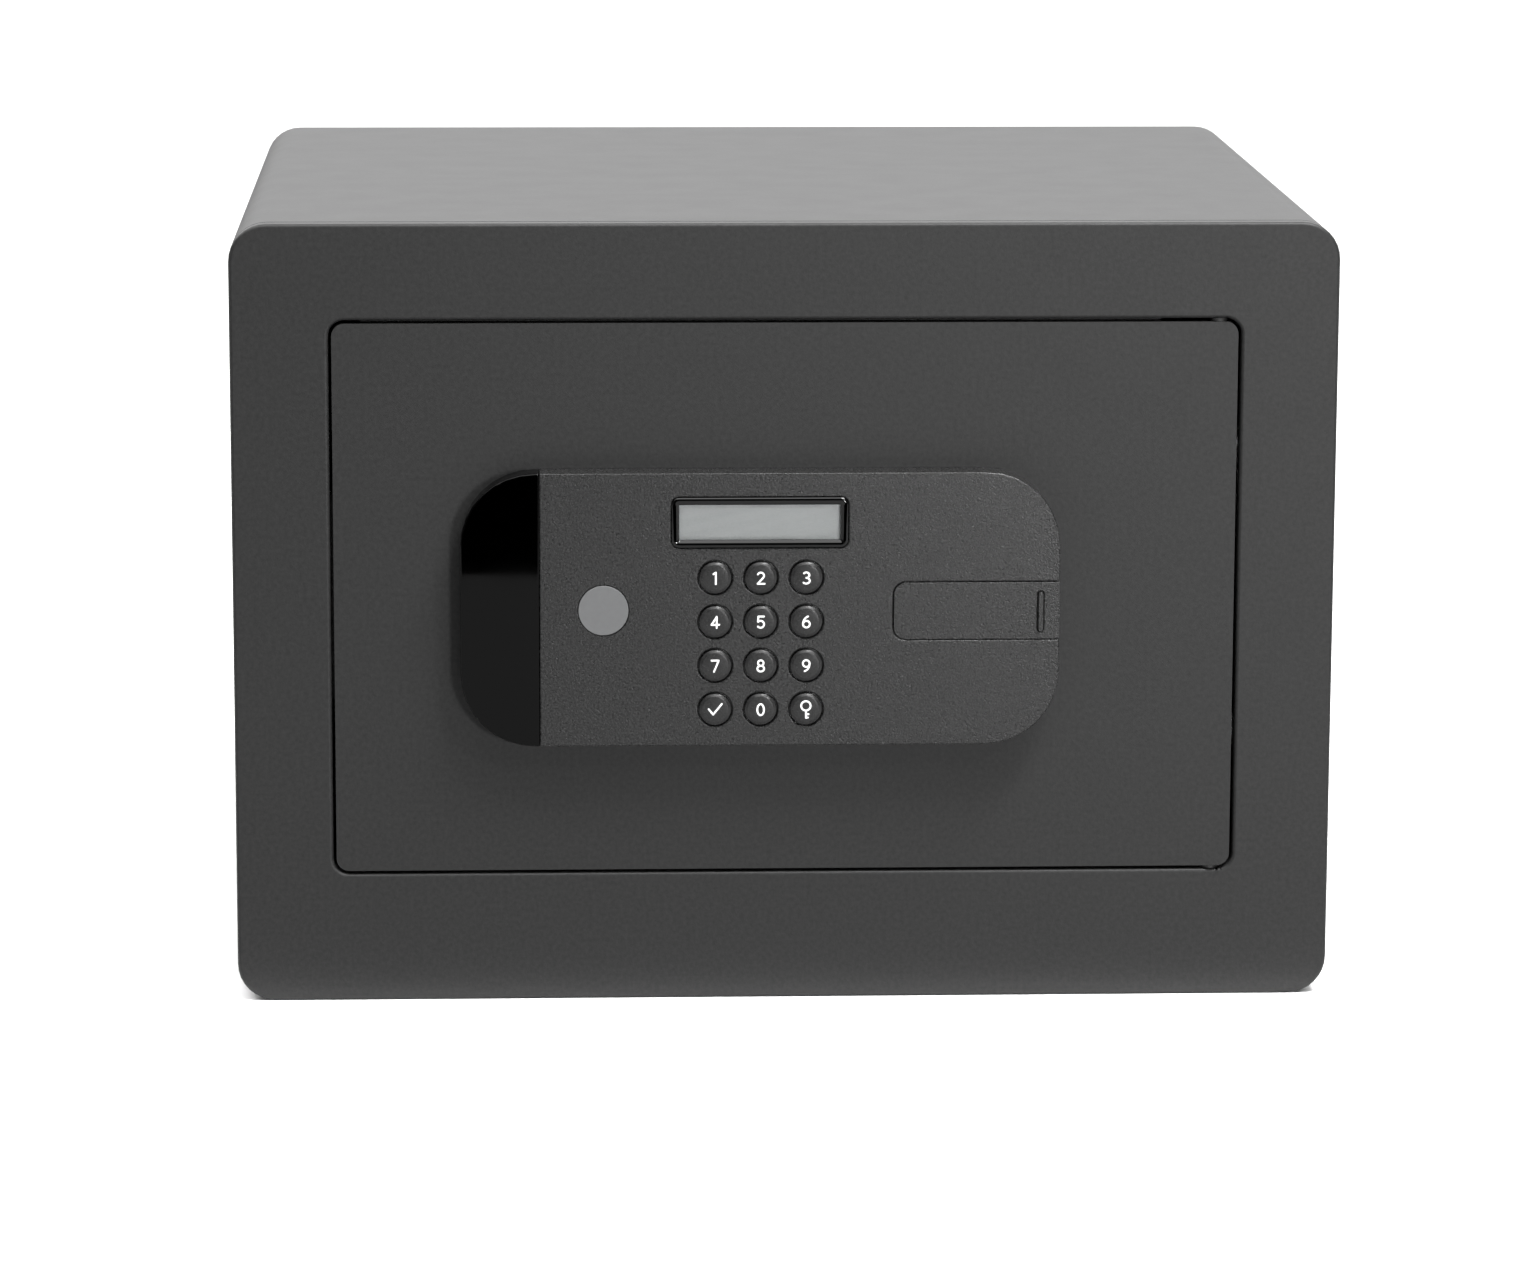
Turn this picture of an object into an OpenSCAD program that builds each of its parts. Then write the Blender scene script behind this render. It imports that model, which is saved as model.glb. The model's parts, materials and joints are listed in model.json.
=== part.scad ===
// In room safe with a motorised lock and a keypad panel.
// X runs to the right, Y from the front to the back and Z up. The origin is the centre of the base.
// Depths in the door and the lock are measured inward from the front face of the cabinet.

/* [Cabinet] */
// Outer width
cabinet_w = 350; // [350:5:420]
// Outer height
cabinet_h = 250; // [250:5:320]
// Outer depth from the front face to the back face
cabinet_d = 300; // [250:5:420]
// Outer corner radius
cabinet_r = 12; // [8:1:16]
// Sheet thickness of the wrap and the back panel
wall_t = 3; // [2:0.5:4]
// Bore of the anchor holes
anchor_d = 12; // [8:1:14]
// Hole spacing across the base and the back
anchor_pitch_x = 240; // [180:10:260]
// Hole spacing from front to back
anchor_pitch_y = 160; // [120:10:180]
// Thickness of the carpet mat
mat_t = 2.5; // [1.5:0.5:4]

/* [Door] */
// Thickness of the door plate and the front frame
plate_t = 6; // [6:0.5:8]
// Gap between the door and the frame
door_gap = 1; // [0.8:0.1:1.5]
// Door width
door_w = 286; // [284:1:290]
// Door height
door_h = 176; // [174:1:180]
// Height of the door's lower edge above the base
door_z = 42.5; // [40:0.5:60]
// Corner radius of the door
door_r = 4; // [2:0.5:6]
// Distance of the hinge axis from the door's right edge
hinge_inset = 6; // [6:0.5:7]
// Depth of the lock case behind the door plate
case_d = 38; // [38:1:44]

/* [Bolts] */
// Diameter of the two locking bolts
bolt_d = 20; // [16:1:20]
// How far the locking bolts travel
bolt_travel = 22; // [14:1:22]
// Distance between the two locking bolts
bolt_pitch = 96; // [90:1:100]
// Diameter of the fixed dogs on the hinge side
dog_d = 12; // [8:1:12]

/* [Lock panel] */
// Width of the lock panel
panel_w = 189.5; // [186:0.5:192]
// Height of the lock panel
panel_h = 87.5; // [85:0.5:90]
// How far the lock panel stands out of the door
panel_t = 10; // [10:0.5:12]
// Corner radius of the lock panel
panel_r = 23.5; // [18:0.5:26]
// Width of the gloss grip at the left end of the panel
grip_w = 25; // [24:0.5:27]

/* [Keys] */
// Diameter of a key cap
key_d = 10; // [9:0.5:10]
// Gap round a key cap
key_gap = 0.5; // [0.3:0.1:0.6]
// Distance between key columns
key_pitch_x = 14.4; // [14:0.1:15]
// Distance between key rows
key_pitch_z = 14.1; // [13.8:0.1:14.6]
// How far a key cap stands out of the panel
key_proud = 1; // [0.8:0.1:1.5]

/* [Hidden] */
$fn = 48;
eps = 0.01;
key_names = [
    "key_1", "key_2", "key_3",
    "key_4", "key_5", "key_6",
    "key_7", "key_8", "key_9",
    "key_tick", "key_0", "key_lock"
];

// Colours
paint = [0.24, 0.24, 0.245];
panel_grey = [0.26, 0.26, 0.265];
gloss_black = [0.02, 0.02, 0.022];
steel = [0.62, 0.63, 0.65];
chrome = [0.8, 0.81, 0.83];
zinc = [0.72, 0.7, 0.62];
brass = [0.74, 0.6, 0.32];
black_plastic = [0.09, 0.09, 0.095];
white_plastic = [0.85, 0.85, 0.83];
felt = [0.13, 0.13, 0.14];

// Door opening and door outline
open_x = door_w / 2 + door_gap;
open_z0 = door_z - door_gap;
open_z1 = door_z + door_h + door_gap;
door_x = door_w / 2;
door_z1 = door_z + door_h;
hinge_x = door_x - hinge_inset;
hinge_y = plate_t / 2;
pin_r = 2;
pin_depth = 10;
pin_reach = 8;
running_fit = 0.05;

// Screws and the holes that they go through
screw_r = 1.5;
screw_hole_r = 1.7;
cover_screw_r = 1.65;
cover_hole_r = 2.2;
bolt_screw_r = 2.5;

// Stops behind the frame
stop_t = 3.4;
stop_lip = 4;
stop_w = 12;
stop_play = 0.4;
stop_end = 18;

// Lock case behind the door plate
case_x0 = -door_x + 21;
case_x1 = door_x - 15;
case_z0 = door_z + 8.5;
case_z1 = door_z1 - 8.5;
case_t = 2;
case_y = plate_t + case_d;
cover_t = 1.5;
case_r = 3;
post_r = 4;
post_len = 8;
post_inset = 5.5;
cover_posts = [for (x = [case_x0 + post_inset, case_x1 - post_inset],
    z = [case_z0 + post_inset, case_z1 - post_inset]) [x, z]];

// Locking bolts, seen in their retracted position
door_mid_z = door_z + door_h / 2;
bolt_z = [door_mid_z - bolt_pitch / 2, door_mid_z + bolt_pitch / 2];
bolt_r = bolt_d / 2;
bolt_y = plate_t + 1.6 + bolt_r;
bolt_tip_x = -door_x + 9;
bolt_end_x = bolt_tip_x + 74;
bush_fit = 0.08;
bush_wall = 1.4;
bush_bore_r = bolt_r + bush_fit;
bush_r = bush_bore_r + bush_wall;
dog_pitch = 90;
dog_y = plate_t + 1.6 + dog_d / 2;
dog_reach = 24;

// Carriage with its rack, and the pinion below it
pinion_teeth = 18;
gear_module = 1;
bar_t = 4;
bar_x1 = bolt_end_x + bar_t;
arm_y0 = plate_t + 25;
arm_y1 = arm_y0 + 4;
arm_z1 = door_mid_z + 19.5;
arm_end_x = 66.5;
lug_w = 5.7;
pinion_x = -20;
pitch_r = pinion_teeth * gear_module / 2;
pinion_z = door_mid_z - 3.5;
rack_z = pinion_z + pitch_r;
rack_root_z = rack_z + 1.25 * gear_module;
rack_x0 = pinion_x - 14;
rack_x1 = pinion_x + bolt_travel + 10;
pressure_angle = 20;
backlash = 0.1;
shaft_r = 3;

// Gearmotor
gearbox_x0 = pinion_x - 18;
gearbox_x1 = pinion_x + 16;
gearbox_z0 = pinion_z - 25;
gearbox_z1 = pinion_z + 24;
gearbox_y0 = plate_t + 2;
gearbox_y1 = plate_t + 23;
can_r = 10;
can_len = 32;
bracket_rim = 4;
counterbore = 2.2;
can_z = pinion_z - 12;
can_y = (gearbox_y0 + gearbox_y1) / 2;
motor_posts = [for (x = [gearbox_x0 + 5, gearbox_x1 - 5], z = [gearbox_z0 + 5, gearbox_z1 - 4]) [x, z]];

// Batteries: four AA cells side by side
cell_r = 7.1;
cell_len = 50.5;
cell_pitch = 14.7;
cell_button_r = 2.7;
cell_button_h = 1;
tray_x0 = 50;
tray_x1 = 112;
tray_z0 = case_z0 + 9;
tray_z1 = tray_z0 + 57;
tray_y0 = case_y - 17;
tray_t = 1.5;
cell_y = case_y - 8;
cell_z0 = tray_z0 + 3;
tray_mid_x = (tray_x0 + tray_x1) / 2;

// Reset button on the inner cover
reset_x = 117;
reset_z = 150;
reset_r = 3;
reset_travel = 1.5;
reset_collar = 1.2;
reset_end_y = case_y - 3.2;

// Lock panel
panel_x0 = -103;
panel_x1 = panel_x0 + panel_w;
panel_z0 = door_mid_z - 2 - panel_h / 2;
panel_z1 = panel_z0 + panel_h;
panel_mid_z = (panel_z0 + panel_z1) / 2;
grip_x1 = panel_x0 + grip_w;
moulding_t = 2;
grip_wall = 4;
recess_w = 13;
panel_post_r = 3.5;
panel_post_bore = -6;
recess_z = 30.5;
fascia_posts = [for (x = [grip_x1 + 9, panel_x1 - 12.5], z = [-29, 29]) [x, panel_mid_z + z]];
grip_posts = [for (z = [-34, 34]) [grip_x1 - 6, panel_mid_z + z]];

// Display
lcd_x0 = -36.5;
lcd_x1 = 19.5;
lcd_z0 = panel_mid_z + 19.8;
lcd_z1 = panel_mid_z + 36.1;
lcd_r = 2.5;
bezel_w = 2.5;
bezel_t = 3.5;
bezel_proud = 0.5;
bezel_y = -panel_t - bezel_proud;
bezel_rebate = 1.6;
window_sunk = 1.3;
window_t = 1;
board_y0 = -4.6;
board_t = 1.4;

// Keys
keys_mid_x = -8.2;
keys_mid_z = panel_mid_z - 10.8;
key_r = key_d / 2;
key_flange_t = 0.4;
key_flange_y = -panel_t + moulding_t + 0.1 + key_flange_t;
key_travel = 1;

// Badge
badge_x = -57.9;
badge_r = 7.9;
badge_sunk = 0.7;
badge_proud = 0.3;

// Emergency lock and its sliding cover
lock_x = 58;
lock_z = panel_mid_z;
lock_y0 = -7.3;
lock_y1 = plate_t + 20;
lock_r = 9;
lock_fit = 0.2;
plug_r = 5.5;
plug_tail = 3.5;
plug_end_y = lock_y1 + 0.3;
cam_len = 26.5;
cam_tip_w = 5;
cam_t = 2.5;
slot_z0 = panel_mid_z - 10;
slot_z1 = panel_mid_z + 8.8;
slot_x0 = 33.6;
slot_r = 4.2;
slot_rim = 3.5;
slot_floor_y = -7.6;
tongue_y = -9;
tongue_w = 1;
cover_fit = 0.3;
rib_x = panel_x1 - 6.8;
rib_w = 1.5;
rib_proud = 1.4;
rib_groove = 0.4;

// Cables: depth is measured from the front face
cable_r = 1.5;
grommet_wall = 1.4;
cable_hole = [24.5, panel_mid_z + 29.5];
cable_hole_r = 6;
motor_route = [
    [22, -1.2, 158], [22, 3, 158], [22, 8, 157.5], [23, 12, 154], [26, 15, 147], [31, 17.5, 138],
    [35.5, 18.5, 128], [36.5, 18.5, 120], [34.5, 18.5, 115.8], [31.5, 18.5, 115], [30, 18.5, 115]
];
battery_route = [
    [27, -1.2, 158], [27, 3, 158], [27.5, 8, 157], [30, 9.5, 152], [33, 9.5, 145], [37, 9.5, 135],
    [40, 9.5, 122], [42, 12, 110], [43.5, 20, 102], [45, 29, 98], [47.5, 33, 97], [50, 33, 97]
];

// Outline of a rectangle with rounded corners
function round_box(x0, x1, z0, z1, r, steps = 8) =
    let (corners = [[x1 - r, z0 + r, -90], [x1 - r, z1 - r, 0], [x0 + r, z1 - r, 90], [x0 + r, z0 + r, 180]])
    [for (c = corners, i = [0:steps])
        let (a = c[2] + 90 * i / steps) [c[0] + r * cos(a), c[1] + r * sin(a)]];

// Extrudes an outline drawn in X and Z between two depths
module slab(y0, y1) {
    translate([0, y1 - cabinet_d / 2, 0]) rotate([90, 0, 0]) linear_extrude(height = y1 - y0) children();
}

module block(x0, x1, y0, y1, z0, z1) {
    translate([x0, y0 - cabinet_d / 2, z0]) cube([x1 - x0, y1 - y0, z1 - z0]);
}

module rod_x(x0, x1, y, z, r) {
    translate([x0, y - cabinet_d / 2, z]) rotate([0, 90, 0]) cylinder(r = r, h = x1 - x0);
}

module rod_y(x, z, y0, y1, r) {
    translate([x, y0 - cabinet_d / 2, z]) rotate([-90, 0, 0]) cylinder(r = r, h = y1 - y0);
}

module rod_z(x, y, z0, z1, r) {
    translate([x, y - cabinet_d / 2, z0]) cylinder(r = r, h = z1 - z0);
}

// Pan head screw along Y, with its head towards the back and a cross recess
module screw_y(x, z, y0, head_y, shank_r, head_r, head_h) {
    cross = head_r * 0.6;
    recess_y = head_y + head_h / 2;
    difference() {
        union() {
            rod_y(x, z, y0, head_y, shank_r);
            rod_y(x, z, head_y, head_y + head_h, head_r);
        }
        for (s = [[1, 0.25], [0.25, 1]])
            block(x - cross * s[0], x + cross * s[0], recess_y, head_y + head_h + 1,
                z - cross * s[1], z + cross * s[1]);
    }
}

// Cabinet

module cabinet_wrap() {
    color(paint) difference() {
        slab(plate_t, cabinet_d) difference() {
            polygon(round_box(-cabinet_w / 2, cabinet_w / 2, 0, cabinet_h, cabinet_r));
            polygon(round_box(-cabinet_w / 2 + wall_t, cabinet_w / 2 - wall_t, wall_t, cabinet_h - wall_t,
                cabinet_r - wall_t));
        }
        base_anchors(anchor_d / 2, -1, wall_t + 1);
    }
}

module base_anchors(r, z0, z1) {
    for (x = [-0.5, 0.5], y = [-0.5, 0.5])
        translate([x * anchor_pitch_x, y * anchor_pitch_y, z0]) cylinder(r = r, h = z1 - z0);
}

module front_frame() {
    color(paint) difference() {
        slab(0, plate_t) difference() {
            polygon(round_box(-cabinet_w / 2, cabinet_w / 2, 0, cabinet_h, cabinet_r));
            polygon(round_box(-open_x, open_x, open_z0, open_z1, door_r + door_gap));
        }
        rod_z(hinge_x, hinge_y, open_z0 - pin_depth, open_z0 + 1, pin_r + running_fit);
        rod_z(hinge_x, hinge_y, open_z1 - 1, open_z1 + pin_depth, pin_r + running_fit);
    }
}

module back_panel() {
    color(paint) difference() {
        slab(cabinet_d - wall_t, cabinet_d)
            polygon(round_box(-cabinet_w / 2 + wall_t, cabinet_w / 2 - wall_t, wall_t, cabinet_h - wall_t,
                cabinet_r - wall_t));
        for (x = [-0.5, 0.5])
            rod_y(x * anchor_pitch_x, cabinet_h / 2, cabinet_d - wall_t - 1, cabinet_d + 1, anchor_d / 2);
    }
}

// Strips behind the frame, above, below and left of the opening
module door_stops() {
    y0 = plate_t;
    y1 = plate_t + stop_t;
    right = hinge_x - stop_end;
    left = -open_x + stop_lip + 6;
    strip_z = bolt_pitch / 2 - bolt_r - 5;
    color(paint) {
        block(left, right, y0, y1, open_z1, open_z1 + stop_w);
        block(left, right, y0 + stop_play, y1, open_z1 - stop_lip, open_z1 + eps);
        block(left, right, y0, y1, open_z0 - stop_w, open_z0);
        block(left, right, y0 + stop_play, y1, open_z0 - eps, open_z0 + stop_lip);
        block(-open_x - stop_w, -open_x, y0, y1, door_mid_z - strip_z, door_mid_z + strip_z);
        block(-open_x - eps, -open_x + stop_lip, y0 + stop_play, y1,
            door_mid_z - strip_z, door_mid_z + strip_z);
    }
}

module hinge_washers() {
    washer_r = pin_r + 0.8;
    play = 0.1;
    color(black_plastic) difference() {
        union() {
            rod_z(hinge_x, hinge_y, open_z0 + play, door_z - play, washer_r);
            rod_z(hinge_x, hinge_y, door_z1 + play, open_z1 - play, washer_r);
        }
        rod_z(hinge_x, hinge_y, open_z0 - 1, open_z1 + 1, pin_r + running_fit);
    }
}

module floor_mat() {
    edge = 10;
    color(felt) difference() {
        translate([0, 0, wall_t]) linear_extrude(height = mat_t)
            polygon(round_box(-cabinet_w / 2 + wall_t + edge, cabinet_w / 2 - wall_t - edge,
                -cabinet_d / 2 + plate_t + edge, cabinet_d / 2 - wall_t - edge, 4));
        base_anchors(anchor_d, 0, wall_t + mat_t + 1);
    }
}

// Door

module door_plate() {
    color(paint) difference() {
        slab(0, plate_t) polygon(round_box(-door_x, door_x, door_z, door_z1, door_r));
        rod_z(hinge_x, hinge_y, door_z - 1, door_z + pin_depth, pin_r);
        rod_z(hinge_x, hinge_y, door_z1 - pin_depth, door_z1 + 1, pin_r);
        for (p = concat(fascia_posts, grip_posts)) rod_y(p[0], p[1], -1, plate_t + 1, screw_hole_r);
        rod_y(lock_x, lock_z, -1, plate_t + 1, lock_r + lock_fit);
        rod_y(cable_hole[0], cable_hole[1], -1, plate_t + 1, cable_hole_r);
    }
}

module hinge_pins() {
    color(steel) {
        rod_z(hinge_x, hinge_y, open_z0 - pin_reach, door_z + pin_depth, pin_r);
        rod_z(hinge_x, hinge_y, door_z1 - pin_depth, open_z1 + pin_reach, pin_r);
    }
}

module lock_case() {
    color(paint) difference() {
        union() {
            slab(plate_t, case_y) difference() {
                polygon(round_box(case_x0, case_x1, case_z0, case_z1, case_r, 4));
                polygon(round_box(case_x0 + case_t, case_x1 - case_t, case_z0 + case_t, case_z1 - case_t,
                    case_r - case_t, 4));
            }
            for (p = cover_posts) rod_y(p[0], p[1], case_y - post_len, case_y, post_r);
        }
        for (z = bolt_z) rod_x(case_x0 - 1, case_x0 + case_t + 1, bolt_y, z, bush_r);
        for (p = cover_posts) rod_y(p[0], p[1], case_y - post_len + 1, case_y + 1, cover_screw_r);
    }
}

module hinge_dogs() {
    color(steel) for (z = [door_mid_z - dog_pitch / 2, door_mid_z + dog_pitch / 2])
        rod_x(case_x1, case_x1 + dog_reach, dog_y, z, dog_d / 2);
}

module inner_cover() {
    rim = 4;
    color(paint) difference() {
        slab(case_y, case_y + cover_t) difference() {
            polygon(round_box(case_x0, case_x1, case_z0, case_z1, case_r, 4));
            polygon(round_box(tray_x0 + rim, tray_x1 - rim, tray_z0 + rim, tray_z1 - rim, rim / 2, 4));
        }
        rod_y(reset_x, reset_z, case_y - 1, case_y + cover_t + 1, reset_r + 0.2);
        for (p = cover_posts) rod_y(p[0], p[1], case_y - 1, case_y + cover_t + 1, cover_hole_r);
    }
}

module inner_cover_screws() {
    head_r = 4;
    head_h = 2.4;
    color(zinc) for (p = cover_posts)
        screw_y(p[0], p[1], case_y - post_len + 2, case_y + cover_t, cover_screw_r, head_r, head_h);
}

module bolt_bushes() {
    x0 = case_x0 - 2;
    x1 = case_x0 + 10;
    color(white_plastic) for (z = bolt_z) difference() {
        rod_x(x0, x1, bolt_y, z, bush_r);
        rod_x(x0 - 1, x1 + 1, bolt_y, z, bush_bore_r);
    }
}

module bolt_guide() {
    x0 = case_x0 + 30;
    x1 = x0 + 3;
    rim_y = 5;
    rim_z = 16;
    color(steel) difference() {
        block(x0, x1, plate_t, bolt_y + bolt_r + rim_y, bolt_z[0] - rim_z, bolt_z[1] + rim_z);
        for (z = bolt_z) rod_x(x0 - 1, x1 + 1, bolt_y, z, bush_bore_r);
    }
}

module locking_bolts() {
    chamfer = 1.5;
    tapped = 14;
    color(chrome) for (z = bolt_z) difference() {
        union() {
            rod_x(bolt_tip_x + chamfer, bolt_end_x, bolt_y, z, bolt_r);
            translate([bolt_tip_x, bolt_y - cabinet_d / 2, z]) rotate([0, 90, 0])
                cylinder(r1 = bolt_r - chamfer, r2 = bolt_r, h = chamfer);
        }
        rod_x(bolt_end_x - tapped, bolt_end_x + 1, bolt_y, z, bolt_screw_r);
    }
}

// Bar across both bolts, with a rack on its arm and a lug for the emergency cam
module bolt_carriage() {
    tab_z = 4;
    bar_y0 = bolt_y - 7;
    bar_y1 = bolt_y + 7.4;
    bar_rim = 12;
    lug_z0 = arm_z1 - 6;
    lug_z1 = arm_z1 + 8;
    color(zinc) difference() {
        union() {
            block(bolt_end_x, bar_x1, bar_y0, bar_y1, bolt_z[0] - bar_rim, bolt_z[1] + bar_rim);
            block(bolt_end_x, bar_x1, bar_y0, arm_y1, rack_root_z - tab_z, arm_z1);
            block(bolt_end_x, arm_end_x, arm_y0, arm_y1, rack_root_z, arm_z1);
            block(arm_end_x - lug_w, arm_end_x, lock_y1 - 0.5, arm_y1, lug_z0, lug_z1);
            slab(arm_y0, arm_y1) rack_teeth();
        }
        for (z = bolt_z) rod_x(bolt_end_x - 1, bar_x1 + 1, bolt_y, z, bolt_screw_r + 0.1);
    }
}

// Straight-sided rack teeth hanging below the root line, with a gap above the pinion's centre
module rack_teeth() {
    pitch = PI * gear_module;
    side = tan(pressure_angle);
    half = pitch / 4 - backlash / 2;
    tip = half - gear_module * side;
    root = half + (rack_root_z - rack_z) * side;
    first = ceil((rack_x0 - pinion_x) / pitch);
    last = floor((rack_x1 - pinion_x) / pitch);
    for (i = [first:last]) translate([pinion_x + (i + 0.5) * pitch, 0])
        polygon([[-root, rack_root_z + eps], [-tip, rack_z - gear_module], [tip, rack_z - gear_module],
            [root, rack_root_z + eps]]);
}

module bolt_screws() {
    engaged = 12;
    head_r = 4.5;
    head_h = 3.5;
    socket_r = 2.3;
    socket_h = 2;
    color(zinc) for (z = bolt_z) difference() {
        union() {
            rod_x(bolt_end_x - engaged, bar_x1, bolt_y, z, bolt_screw_r);
            rod_x(bar_x1, bar_x1 + head_h, bolt_y, z, head_r);
        }
        translate([bar_x1 + head_h - socket_h, bolt_y - cabinet_d / 2, z]) rotate([0, 90, 0])
            cylinder(r = socket_r, h = socket_h + 1, $fn = 6);
    }
}

module gearbox() {
    head_room_r = 3.1;
    color(black_plastic) difference() {
        block(gearbox_x0, gearbox_x1, gearbox_y0, gearbox_y1, gearbox_z0, gearbox_z1);
        rod_y(pinion_x, pinion_z, gearbox_y0 + 4, gearbox_y1 + 1, shaft_r + running_fit);
        for (p = motor_posts) {
            rod_y(p[0], p[1], gearbox_y0 - 1, gearbox_y1 + 1, screw_r + 0.1);
            rod_y(p[0], p[1], gearbox_y1 - counterbore, gearbox_y1 + 1, head_room_r);
        }
    }
}

module motor_can() {
    boss_r = 4;
    boss_len = 2;
    end = gearbox_x1 + can_len;
    color(steel) {
        rod_x(gearbox_x1, end, can_y, can_z, can_r);
        rod_x(end - eps, end + boss_len, can_y, can_z, boss_r);
    }
}

module motor_bracket() {
    color(steel) difference() {
        block(gearbox_x0 - 2 * bracket_rim, gearbox_x1 + 2 * bracket_rim, plate_t, gearbox_y0,
            gearbox_z0 - bracket_rim, gearbox_z1 + bracket_rim);
        for (p = motor_posts) rod_y(p[0], p[1], plate_t - 1, gearbox_y0 + 1, screw_r);
    }
}

module motor_screws() {
    head_r = 3;
    head_h = 2;
    color(zinc) for (p = motor_posts)
        screw_y(p[0], p[1], plate_t, gearbox_y1 - counterbore, screw_r, head_r, head_h);
}

module output_shaft() {
    color(steel) rod_y(pinion_x, pinion_z, gearbox_y0 + 4.5, arm_y1 + 2, shaft_r);
}

// Involute angle, in degrees, at a radius outside the base circle
function involute(r, base_r) = let (a = acos(base_r / r)) tan(a) * 180 / PI - a;

// Outline of an involute spur gear with a tooth pointing up
function gear_outline(teeth, mod, steps = 4) =
    let (
        rp = teeth * mod / 2,
        rb = rp * cos(pressure_angle),
        ra = rp + mod,
        rf = rp - 1.25 * mod,
        mid = 90 / teeth - backlash / 2 / rp * 180 / PI + involute(rp, rb),
        radii = concat([rf], [for (i = [0:steps]) rb + (ra - rb) * i / steps]),
        half = [for (r = radii) mid - (r > rb ? involute(r, rb) : 0)],
        n = len(radii)
    )
    [for (t = [0:teeth - 1], k = [0:2 * n - 1])
        let (
            i = k < n ? k : 2 * n - 1 - k,
            a = 90 + 360 * t / teeth + (k < n ? -half[i] : half[i])
        )
        [radii[i] * cos(a), radii[i] * sin(a)]];

module drive_pinion() {
    overhang = 0.5;
    color(white_plastic) difference() {
        slab(arm_y0 - overhang, arm_y1 + overhang)
            translate([pinion_x, pinion_z]) polygon(gear_outline(pinion_teeth, gear_module));
        rod_y(pinion_x, pinion_z, arm_y0 - 1, arm_y1 + 1, shaft_r);
    }
}

// Batteries

module battery_tray() {
    color(black_plastic) difference() {
        block(tray_x0, tray_x1, tray_y0, case_y, tray_z0, tray_z1);
        block(tray_x0 + tray_t, tray_x1 - tray_t, tray_y0 + tray_t, case_y + 1,
            tray_z0 + tray_t, tray_z1 - tray_t);
    }
}

module at_cells() {
    for (i = [-1.5:1:1.5]) translate([tray_mid_x + i * cell_pitch, cell_y - cabinet_d / 2, 0]) children();
}

module battery_cells() {
    body = cell_len - cell_button_h;
    color(brass) at_cells() {
        translate([0, 0, cell_z0]) cylinder(r = cell_r, h = body);
        translate([0, 0, cell_z0 + body - eps]) cylinder(r = cell_button_r, h = cell_button_h + eps);
    }
}

module battery_contacts() {
    spring_r = 4;
    plate_w = 10;
    spring_h = cell_z0 - tray_z0 - tray_t;
    top_h = tray_z1 - tray_t - cell_z0 - cell_len;
    color(steel) at_cells() {
        translate([0, 0, tray_z0 + tray_t]) cylinder(r = spring_r, h = spring_h);
        translate([-plate_w / 2, -plate_w / 2, cell_z0 + cell_len]) cube([plate_w, plate_w, top_h]);
    }
}

module battery_cover() {
    y0 = case_y + cover_t + 0.2;
    y1 = y0 + cover_t;
    tab_y0 = cell_y + cell_r + 0.2;
    tab_w = 10;
    ridge_w = 24;
    ridge_h = 0.8;
    ridge_z = tray_z1 - 12;
    bar = 1.2;
    color(black_plastic) {
        slab(y0, y1) polygon(round_box(tray_x0, tray_x1, tray_z0, tray_z1, 3, 4));
        for (z = [tray_z0 + 4.3, tray_z1 - 5.5])
            block(tray_mid_x - tab_w / 2, tray_mid_x + tab_w / 2, tab_y0, y0 + eps, z, z + bar);
        for (z = [ridge_z - 3, ridge_z, ridge_z + 3])
            block(tray_mid_x - ridge_w / 2, tray_mid_x + ridge_w / 2, y1 - eps, y1 + ridge_h, z, z + bar);
    }
}

// Reset button

module reset_switch() {
    y1 = reset_end_y - reset_travel - 0.3;
    half_z = 8;
    color(black_plastic)
        block(reset_x - 7, case_x1 - case_t, y1 - 11, y1, reset_z - half_z, reset_z + half_z);
}

module reset_button() {
    color([0.7, 0.08, 0.06]) {
        rod_y(reset_x, reset_z, reset_end_y, case_y + cover_t + reset_collar, reset_r);
        rod_y(reset_x, reset_z, case_y - 2, case_y - 1, reset_r + reset_collar);
    }
}

// Cables

function unit(v) = v / norm(v);
function along(route, i) =
    unit(route[min(i + 1, len(route) - 1)] - route[max(i - 1, 0)]);

// Point on a smooth curve through the route, where t counts the route's points
function on_route(route, t) =
    let (
        last = len(route) - 1,
        i = min(floor(t), last - 1),
        u = t - i,
        a = route[max(i - 1, 0)],
        b = route[i],
        c = route[i + 1],
        d = route[min(i + 2, last)]
    )
    b + 0.5 * u * ((c - a) + u * ((2 * a - 5 * b + 4 * c - d) + u * (3 * (b - c) + d - a)));

// Round tube with eight sides along a route of points
module cable(route, r) {
    sides = 8;
    per_point = 2;
    path = [for (k = [0:per_point * (len(route) - 1)])
        on_route(route, k / per_point) - [0, cabinet_d / 2, 0]];
    points = [for (i = [0:len(path) - 1], s = [0:sides - 1])
        let (
            t = along(path, i),
            n = unit(cross(t, [0.35, 0.25, 0.9])),
            b = cross(t, n),
            a = 360 * s / sides
        )
        path[i] + r * (cos(a) * n + sin(a) * b)];
    ends = len(path) - 1;
    faces = concat(
        [[for (s = [0:sides - 1]) s]],
        [[for (s = [sides - 1:-1:0]) ends * sides + s]],
        [for (i = [0:ends - 1], s = [0:sides - 1])
            let (n = (s + 1) % sides)
            [i * sides + s, (i + 1) * sides + s, (i + 1) * sides + n, i * sides + n]]
    );
    polyhedron(points = points, faces = faces, convexity = 6);
}

module motor_cable() {
    color([0.6, 0.08, 0.07]) cable(motor_route, cable_r);
}

module battery_cable() {
    color(black_plastic) cable(battery_route, cable_r);
}

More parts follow.
